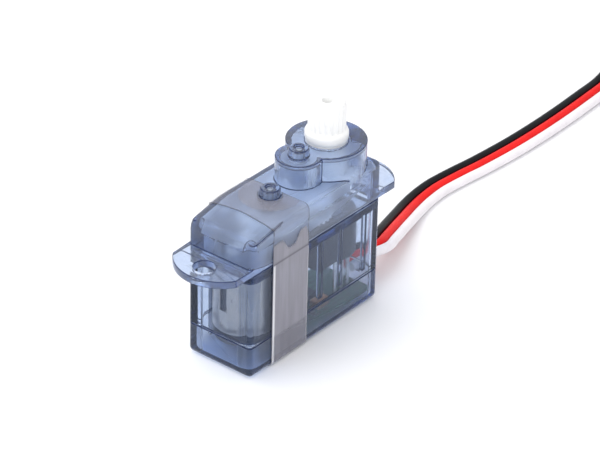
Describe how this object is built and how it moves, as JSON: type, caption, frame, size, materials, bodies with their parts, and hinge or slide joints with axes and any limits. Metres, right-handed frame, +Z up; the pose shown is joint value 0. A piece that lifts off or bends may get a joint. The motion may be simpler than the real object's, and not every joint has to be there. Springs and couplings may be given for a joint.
{
  "type": "micro hobby servo motor",
  "caption": "Ultra-micro hobby servo in a clear smoky case with mounting lugs, a splined output shaft, a nylon gear train on steel pins and a flat lead with its plug.",
  "frame": {"origin": "middle of the servo's footprint on the surface that it stands on, the lead left out", "axes": "+X along the case towards the output shaft and the lead, +Y across the case, +Z up along the output shaft"},
  "size_m": [0.1144, 0.0139, 0.0229],
  "materials": {
    "case_clear": "clear smoky blue-grey moulding, polished",
    "clear_tape": "thin clear adhesive tape, slightly milky and creased",
    "nylon_white": "moulded white nylon, satin",
    "pin_steel": "ground steel",
    "motor_can_steel": "drawn steel, zinc plated",
    "magnet_dark": "dark sintered magnet",
    "black_plastic": "black moulding, satin",
    "copper": "bare and lacquered copper",
    "contact_tin": "tinned contact metal",
    "board_green": "green solder mask",
    "wire_black": "flexible insulation, satin",
    "wire_red": "flexible insulation, satin",
    "wire_white": "flexible insulation, satin"
  },
  "bodies": {
    "case": {"top_cover": "case_clear", "middle_case": "case_clear", "bottom_cover": "case_clear", "clear_tape_band": "clear_tape", "gear_pin_a": "pin_steel", "gear_pin_b": "pin_steel", "motor_can": "motor_can_steel", "motor_magnet_ring": "magnet_dark", "motor_end_cap": "black_plastic", "motor_terminal_a": "contact_tin", "motor_terminal_b": "contact_tin", "motor_brush_a": "copper", "motor_brush_b": "copper", "potentiometer_housing": "black_plastic", "potentiometer_leg_1": "contact_tin", "potentiometer_leg_2": "contact_tin", "potentiometer_leg_3": "contact_tin", "circuit_board": "board_green", "control_chip": "black_plastic", "motor_driver_chip": "black_plastic", "supply_capacitor": "copper", "chip_resistor_1": "black_plastic", "chip_resistor_2": "black_plastic", "chip_resistor_3": "black_plastic", "motor_wire_red": "wire_red", "motor_wire_black": "wire_black", "lead_black": "wire_black", "lead_red": "wire_red", "lead_white": "wire_white", "lead_coil": "wire_white", "lead_tail_black": "wire_black", "lead_tail_red": "wire_red", "lead_tail_white": "wire_white", "lead_tie": "black_plastic", "plug_housing": "black_plastic", "plug_contact_1": "contact_tin", "plug_contact_2": "contact_tin", "plug_contact_3": "contact_tin"},
    "motor_rotor": {"motor_shaft": "pin_steel", "motor_pinion": "nylon_white", "armature_core": "pin_steel", "armature_winding_top": "copper", "armature_winding_bottom": "copper", "motor_commutator": "copper"},
    "gear_a_low": {"gear_a_lower": "nylon_white"},
    "gear_b_low": {"gear_b_lower": "nylon_white"},
    "gear_a_high": {"gear_a_upper": "nylon_white"},
    "gear_b_high": {"gear_b_upper": "nylon_white"},
    "output": {"output_gear_and_shaft": "nylon_white", "potentiometer_rotor": "nylon_white"}
  },
  "joints": [
    {"name": "motor_spin", "type": "hinge", "parent": "case", "child": "motor_rotor", "pos_m": [-0.0061, 0, 0.01182], "axis": [0, 0, 1], "range_deg": [-12020, 12020]},
    {"name": "gear_a_low_spin", "type": "hinge", "parent": "case", "child": "gear_a_low", "pos_m": [-0.0025, 0, 0.01187], "axis": [0, 0, 1], "range_deg": [-4007, 4007]},
    {"name": "gear_b_low_spin", "type": "hinge", "parent": "case", "child": "gear_b_low", "pos_m": [0.0018, 0, 0.01267], "axis": [0, 0, 1], "range_deg": [-1551.5, 1551.5]},
    {"name": "gear_a_high_spin", "type": "hinge", "parent": "case", "child": "gear_a_high", "pos_m": [-0.0025, 0, 0.01347], "axis": [0, 0, 1], "range_deg": [-601, 601]},
    {"name": "gear_b_high_spin", "type": "hinge", "parent": "case", "child": "gear_b_high", "pos_m": [0.0018, 0, 0.01427], "axis": [0, 0, 1], "range_deg": [-232.6, 232.6]},
    {"name": "output_spin", "type": "hinge", "parent": "case", "child": "output", "pos_m": [0.0061, 0, 0.01507], "axis": [0, 0, 1], "range_deg": [-90, 90]}
  ],
  "couplings": [
    {"joint": "gear_a_low_spin", "follows": "motor_spin", "ratio": -0.33333},
    {"joint": "gear_b_low_spin", "follows": "motor_spin", "ratio": 0.12903},
    {"joint": "gear_a_high_spin", "follows": "motor_spin", "ratio": -0.049948},
    {"joint": "gear_b_high_spin", "follows": "motor_spin", "ratio": 0.019335},
    {"joint": "output_spin", "follows": "motor_spin", "ratio": -0.0074844}
  ]
}
